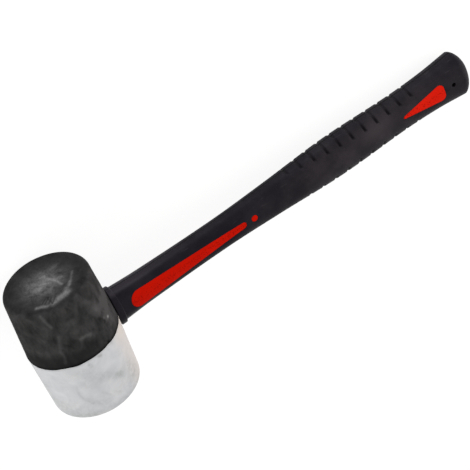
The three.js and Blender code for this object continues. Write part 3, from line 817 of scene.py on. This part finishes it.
# The veil's grey carries the painted sheen of the side towards the handle.
tone = add(tree, "Mix", {0: veil_and_sheen_cover.outputs["Value"], 6: linear("1d1d1d"), 7: linear("474646")},
           data_type="RGBA")
for cover, colour in ((hazy.outputs["Value"], "7e7e7e"), (rubbed.outputs["Value"], "a8a8a8"),
                      (stroked.outputs["Value"], "a0a0a0"), (mask["dark"], "0c0c0c")):
    tone = add(tree, "Mix", {0: cover, 6: tone.outputs[2], 7: linear(colour)}, data_type="RGBA")
pore = add(tree, "TexNoise", {"Vector": own, "Scale": 1 / PORE, "Detail": 3.0, "Roughness": 0.6})
bump = add(tree, "Bump", {"Strength": 0.3, "Distance": 0.00015, "Height": pore.outputs["Fac"]})
bump = add(tree, "Bump", {"Strength": 0.3, "Distance": 0.0004, "Height": cloud.outputs["Fac"],
                          "Normal": bump.outputs["Normal"]})
surface = add(tree, "BsdfPrincipled", {
    "Base Color": tone.outputs[2], "Roughness": 0.8, "Specular IOR Level": 0.03,
    "Normal": bump.outputs["Normal"]})
add(tree, "OutputMaterial", {"Surface": surface.outputs["BSDF"]})
black_half.data.materials.append(black_rubber)
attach(black_half, "root")
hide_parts("head_black_half")


# White half of the head
# The same press makes the other half of white rubber that leaves no marks. It is a little longer, with a
# softer rim, and is bonded to the black half along the widest ring.
WHITE_RIM = 7.2
white_half = half_barrel("white_rubber_half", WHITE_LENGTH, WHITE_TAPER, WHITE_RIM, -1, 31)
cut_out(white_half, [eye_cutter()])

# Grime: marks on the side as paths of turn and y, scuffs on the face as paths of x and z, each with a
# width and a strength; more along the bonded edge, on the rim and in the middle of the face.
MARKS = [((4, -1.6), (7, -2.6), 1.3, 0.75),
         ((-10, -4), (-8, -6), 1.4, 0.4),
         ((24, -0.8), (27, -2), 1.3, 0.35),
         ((0, -20), (10, -23), (20, -29), 4.5, 0.3),
         ((-28, -34), (-18, -39), (-8, -42), 3.5, 0.25),
         ((40, -32), (44, -40), 7, 0.28),
         ((-22, -19), (-12, -20), 5, 0.2),
         ((14, -27), (20, -28), 2.2, 0.25),
         ((-35, -18), (-37, -26), (-34, -33), (-26, -38), 0.8, 0.22),
         ((-10, -32), (-2, -38), 1.0, 0.22),
         ((2, -36), (12, -42), 1.0, 0.18),
         ((-85, -20), (-85, -35), 4, 0.2),
         ((-74, -41), (-55, -47), (-36, -48), 8, 0.28),
         ((-72, -36), (-50, -38), 6, 0.16),
         ((-34, -6), (-12, -10), 5, 0.2),
         ((12, -39), (45, -40), 6, 0.16),
         ((26, -27), (38, -30), 4, 0.12)]
SCUFFS = [((-14, 9), (-8, 14), (0, 16), (8, 14), 1.6, 0.3),
          ((4, -12), (12, -5), (15, 3), 1.2, 0.25),
          ((-10, -10), (-3, -3), 0.9, 0.25),
          ((-4, 6), (9, 2), 2.4, 0.2)]
GRIME = 0.3
BOND_GRIME_AT = -0.5
BOND_GRIME_WIDTH = 0.9
RIM_GRIME = (-43, -50)
RIM_ONLY = 0.7
FACE_MIDDLE = 15
place = own_points(white_half)
x, y, z = place.T
turn = np.degrees(np.arctan2(x, z))
face = ease(-y, WHITE_LENGTH - FACE_FADE[0], WHITE_LENGTH - FACE_FADE[1])
mark = sum(strength * near_path(place, on_side(path), width) for *path, width, strength in MARKS)
scuff = sum(strength * near_path(place, on_face(path, -WHITE_LENGTH), width)
            for *path, width, strength in SCUFFS)
edge_grime = bell(y, BOND_GRIME_AT, BOND_GRIME_WIDTH) + ease(y, *RIM_GRIME) * (1 - RIM_ONLY * face)
face_grime = face * (scuff + GRIME * bell(np.hypot(x, z), 0, FACE_MIDDLE))
store(white_half, "smudge", np.clip(mark + GRIME * edge_grime + face_grime, 0, 1))

# The side turned to the handle has a faint warm cast, strongest beside the bonded edge.
WARM_FROM = (22, 55)
WARM_TO = (130, 160)
WARM_EDGE = (-16, -3)
WARMTH = 0.55
EDGE_WARMTH = 0.35
warm_side = ease(turn, *WARM_FROM) * (1 - ease(turn, *WARM_TO))
store(white_half, "warm", warm_side * (WARMTH + EDGE_WARMTH * ease(y, *WARM_EDGE)))

# White non-marking rubber: soft chalky white with a hint of depth, faint grey finger marks, a slightly
# warmer side and grime that gathers along the bonded edge.
MOTTLE = 11
DIRT = 3
white_rubber, tree, own = new_material("white non-marking rubber")
mask = {name: add(tree, "Attribute", {}, attribute_name=name).outputs["Fac"]
        for name in ("smudge", "warm")}
cloud = add(tree, "TexNoise", {"Vector": own, "Scale": 1 / MOTTLE, "Detail": 6.0, "Roughness": 0.62,
                               "Distortion": 0.5})
dirt = add(tree, "TexNoise", {"Vector": own, "Scale": 1 / DIRT, "Detail": 5.0, "Roughness": 0.7})
patchy = add(tree, "MapRange", {"Value": dirt.outputs["Fac"], "From Min": 0.3, "From Max": 0.62,
                                "To Min": 0.25, "To Max": 1.0}, interpolation_type="SMOOTHSTEP")
dirty = add(tree, "Math", {0: patchy.outputs["Result"], 1: mask["smudge"]}, operation="MULTIPLY")
mottled = add(tree, "MapRange", {"Value": cloud.outputs["Fac"], "From Min": 0.3, "From Max": 0.7})
tone = add(tree, "Mix", {0: mottled.outputs["Result"], 6: linear("babdc1"), 7: linear("cdced0")},
           data_type="RGBA")
for cover, colour in ((mask["warm"], "cec6bf"), (dirty.outputs["Value"], "8d8f8c")):
    tone = add(tree, "Mix", {0: cover, 6: tone.outputs[2], 7: linear(colour)}, data_type="RGBA")
pore = add(tree, "TexNoise", {"Vector": own, "Scale": 1 / PORE, "Detail": 3.0, "Roughness": 0.6})
bump = add(tree, "Bump", {"Strength": 0.2, "Distance": 0.00012, "Height": pore.outputs["Fac"]})
bump = add(tree, "Bump", {"Strength": 0.3, "Distance": 0.0004, "Height": cloud.outputs["Fac"],
                          "Normal": bump.outputs["Normal"]})
surface = add(tree, "BsdfPrincipled", {
    "Base Color": tone.outputs[2], "Roughness": 0.6, "Specular IOR Level": 0.12,
    "Normal": bump.outputs["Normal"]})
add(tree, "OutputMaterial", {"Surface": surface.outputs["BSDF"]})
white_half.data.materials.append(white_rubber)
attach(white_half, "root")
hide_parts("head_white_half")


# Floor, light and camera
# The mallet lies on a wide white table under an even white room light, with two large soft lamps beyond
# its tail and its head and a smaller one low in front of the handle. A long lens sees it from above the
# black face.
TABLE_HALF = 4
corners = [(-TABLE_HALF, -TABLE_HALF, 0), (TABLE_HALF, -TABLE_HALF, 0),
           (TABLE_HALF, TABLE_HALF, 0), (-TABLE_HALF, TABLE_HALF, 0)]
floor_mesh = bpy.data.meshes.new("table")
floor_mesh.from_pydata(corners, [], [(0, 1, 2, 3)])
table = bpy.data.objects.new("table", floor_mesh)
bpy.context.collection.objects.link(table)

# White table top: seen directly it is a little self-lit, so that it reads white and its shadow stays pale.
table_white = bpy.data.materials.new("white table top")
table_white.use_nodes = True
tree = table_white.node_tree
tree.nodes.clear()
seen = add(tree, "LightPath", {})
plain = add(tree, "BsdfDiffuse", {"Color": linear("e6e6e6")})
pale = add(tree, "BsdfDiffuse", {"Color": linear("707070")})
glow = add(tree, "Emission", {"Color": linear("ffffff"), "Strength": 0.88})
lit = add(tree, "AddShader", {0: pale.outputs["BSDF"], 1: glow.outputs["Emission"]})
direct = add(tree, "Math", {0: seen.outputs["Is Camera Ray"], 1: seen.outputs["Is Glossy Ray"]},
             operation="MAXIMUM")
direct = add(tree, "Math", {0: direct.outputs["Value"], 1: seen.outputs["Is Transmission Ray"]},
             operation="MAXIMUM")
choice = add(tree, "MixShader", {0: direct.outputs["Value"], 1: plain.outputs["BSDF"],
                                 2: lit.outputs["Shader"]})
add(tree, "OutputMaterial", {"Surface": choice.outputs["Shader"]})
floor_mesh.materials.append(table_white)

room = bpy.data.worlds.new("white room")
bpy.context.scene.world = room
room.use_nodes = True
tree = room.node_tree
tree.nodes.clear()
even = add(tree, "Background", {"Color": linear("ffffff"), "Strength": 0.62})
add(tree, "OutputWorld", {"Surface": even.outputs["Background"]})


def soft_lamp(name, place, target, size, power, colour, gleams):
    """A square lamp at place, turned to its target; only a lamp that gleams shows in shiny surfaces."""
    data = bpy.data.lights.new(name, "AREA")
    data.size = size
    data.energy = power
    data.color = linear(colour)[:3]
    lamp = bpy.data.objects.new(name, data)
    lamp.location = place
    lamp.rotation_euler = (Vector(target) - Vector(place)).to_track_quat("-Z", "Y").to_euler()
    lamp.visible_glossy = gleams
    bpy.context.collection.objects.link(lamp)


soft_lamp("tail_lamp", place=(1.5, 0.15, 0.7), target=(-0.05, 0, 0.03), size=1.0, power=17,
          colour="fdf8f4", gleams=False)
soft_lamp("head_lamp", place=(-1.3, -0.4, 0.7), target=(-0.15, 0, 0.03), size=1.0, power=10,
          colour="fcf9f6", gleams=False)
soft_lamp("front_lamp", place=(0.3, 1.7, 0.2), target=(-0.05, 0, 0.04), size=0.45, power=9,
          colour="fbf8ff", gleams=True)

scene = bpy.context.scene
scene.view_settings.view_transform = "Standard"
CAMERA_PLACE = Vector((-0.336884, 0.950254, 1.382964))
CAMERA_AIM = Vector((-0.021199, -0.002565, 0.031856))
CAMERA_ROLL = np.radians(133.13765)
FOCAL_LENGTH = 181.57176
SENSOR_WIDTH = 36
lens = bpy.data.cameras.new("long lens")
lens.lens = FOCAL_LENGTH
lens.sensor_width = SENSOR_WIDTH
camera = bpy.data.objects.new("camera", lens)
camera.rotation_mode = "QUATERNION"
camera.rotation_quaternion = ((CAMERA_AIM - CAMERA_PLACE).to_track_quat("-Z", "Y")
                              @ Quaternion((0, 0, 1), CAMERA_ROLL))
camera.location = CAMERA_PLACE
bpy.context.collection.objects.link(camera)
scene.camera = camera
